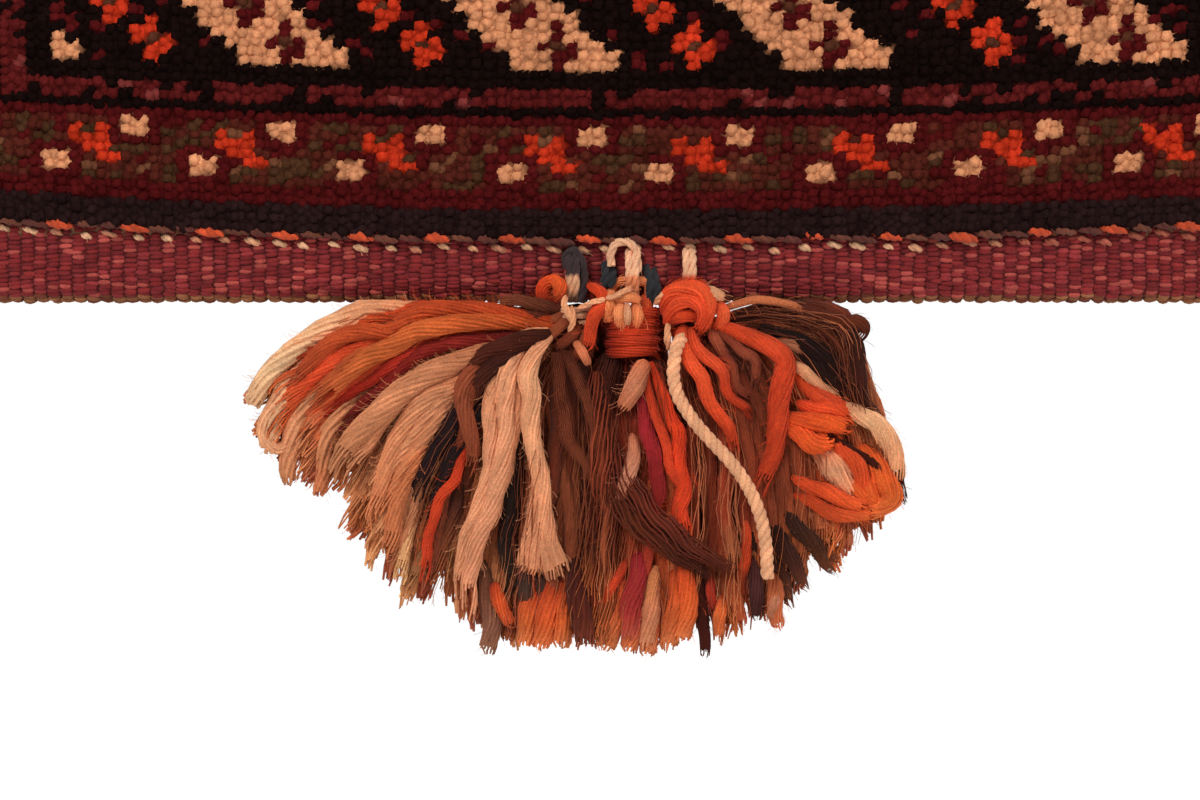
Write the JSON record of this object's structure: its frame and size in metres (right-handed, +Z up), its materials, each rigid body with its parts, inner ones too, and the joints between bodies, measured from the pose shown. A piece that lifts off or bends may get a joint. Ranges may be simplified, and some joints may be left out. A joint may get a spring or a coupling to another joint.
{
  "type": "salt bag",
  "caption": "Hand-woven wool salt bag: pile front, flat-woven hem and back, narrow neck that folds over the mouth, yarn tassels looped through the hem.",
  "frame": {"origin": "middle of the shoulder line, where the neck meets the body, on the inner face of the back cloth", "axes": "+Z up along the bag to the mouth, +X across it to its right as seen from the front, -Y the way the pile front faces"},
  "size_m": [0.3838, 0.033, 0.5667],
  "materials": {
    "pile": "knotted wool pile, patterned",
    "ground_cloth": "plain woven wool ground",
    "flatweave": "weft-faced flat-woven wool",
    "binding": "overcast goat hair",
    "twining": "two-colour weft twining",
    "orange_yarn": "plied wool yarn",
    "maroon_yarn": "plied wool yarn",
    "beige_yarn": "loosely spun wool yarn",
    "navy_yarn": "plied wool yarn",
    "brown_hair": "loose goat hair and wool",
    "tan_yarn": "faded wool yarn",
    "cream_yarn": "plied cotton yarn"
  },
  "bodies": {
    "bag": {"front_ground_cloth": "ground_cloth", "front_pile": "pile", "back_cloth": "flatweave", "hem_fold": "flatweave", "twining_row": "twining", "left_shoulder_binding": "binding", "left_side_binding": "binding", "right_shoulder_binding": "binding", "right_side_binding": "binding", "left_hanging_loop": "navy_yarn", "centre_hanging_loop": "cream_yarn", "right_hanging_loop": "cream_yarn"},
    "neck": {"neck_ground_cloth": "ground_cloth", "neck_pile": "pile", "neck_back_cloth": "flatweave", "neck_left_binding": "binding", "neck_right_binding": "binding", "mouth_binding_front": "binding", "mouth_binding_back": "binding"},
    "tassel_left": {"left_tassel_head": "orange_yarn", "left_tie": "cream_yarn", "left_orange_skein": "orange_yarn", "left_maroon_skein": "maroon_yarn", "left_beige_skein": "beige_yarn", "left_navy_skein": "navy_yarn", "left_cream_outer_skein": "beige_yarn", "left_cream_inner_skein": "beige_yarn", "left_umber_skein": "brown_hair", "left_tan_back_skein": "tan_yarn", "left_dark_back_skein": "brown_hair"},
    "tassel_centre": {"centre_tassel_head": "orange_yarn", "centre_wrap": "orange_yarn", "centre_brown_skein": "brown_hair", "centre_ruby_skein": "maroon_yarn", "centre_orange_skein": "orange_yarn", "centre_back_skein": "brown_hair"},
    "tassel_right": {"right_tassel_head": "orange_yarn", "right_tie": "cream_yarn", "right_orange_skein": "orange_yarn", "right_umber_skein": "brown_hair", "right_red_skein": "orange_yarn", "right_loop_skein": "orange_yarn", "right_brown_skein": "brown_hair", "right_dark_back_skein": "brown_hair", "right_tan_back_skein": "tan_yarn", "cream_cord": "cream_yarn"}
  },
  "joints": [
    {"name": "neck_fold", "type": "hinge", "parent": "bag", "child": "neck", "pos_m": [0, -0.0176, 0], "axis": [1, 0, 0], "range_deg": [0, 160]},
    {"name": "tassel_left_swing", "type": "hinge", "parent": "bag", "child": "tassel_left", "pos_m": [-0.0109, -0.0098, -0.30557], "axis": [-1, 0, 0], "range_deg": [-8, 80]},
    {"name": "tassel_centre_swing", "type": "hinge", "parent": "bag", "child": "tassel_centre", "pos_m": [0.0028, -0.0098, -0.30557], "axis": [-1, 0, 0], "range_deg": [-8, 80]},
    {"name": "tassel_right_swing", "type": "hinge", "parent": "bag", "child": "tassel_right", "pos_m": [0.016, -0.0098, -0.30557], "axis": [-1, 0, 0], "range_deg": [-8, 80]}
  ]
}
